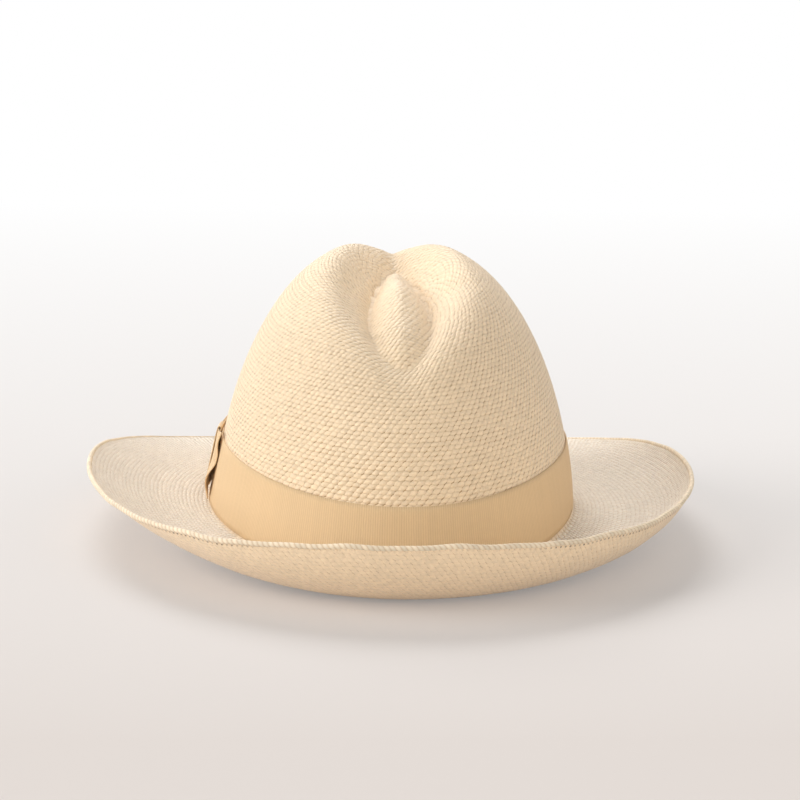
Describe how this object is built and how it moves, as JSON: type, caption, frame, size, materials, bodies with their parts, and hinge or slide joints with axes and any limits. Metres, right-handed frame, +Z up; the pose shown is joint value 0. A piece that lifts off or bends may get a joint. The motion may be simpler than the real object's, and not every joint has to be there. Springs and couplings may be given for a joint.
{
  "type": "panama hat",
  "caption": "Woven straw hat with a teardrop-dented crown, a curved brim turned up at the back, a ribbon band with a flat side bow, and a leather sweatband inside.",
  "frame": {"origin": "on the table the hat rests on, under the middle of its outline", "axes": "+Y to the hat's front, +X to the wearer's right, +Z up through the crown"},
  "size_m": [0.2888, 0.3174, 0.1294],
  "materials": {
    "straw": "woven straw, matt with a faint sheen",
    "ribbon": "fine ribbed grosgrain",
    "thread": "sewing thread",
    "sweat_leather": "smooth tanned leather",
    "tape": "plain woven cotton tape",
    "reed": "flexible cord",
    "satin": "narrow satin ribbon"
  },
  "bodies": {
    "root": {"straw_body": "straw", "hat_ribbon": "ribbon", "bow_loops": "ribbon", "bow_knot": "ribbon", "bow_tacks": "thread", "ribbon_tacks": "thread", "sweatband": "sweat_leather", "reed_tape": "tape", "sweatband_reed": "reed", "seam_tab": "tape", "sweatband_stitches": "thread", "sweatband_bow": "satin"}
  },
  "joints": []
}
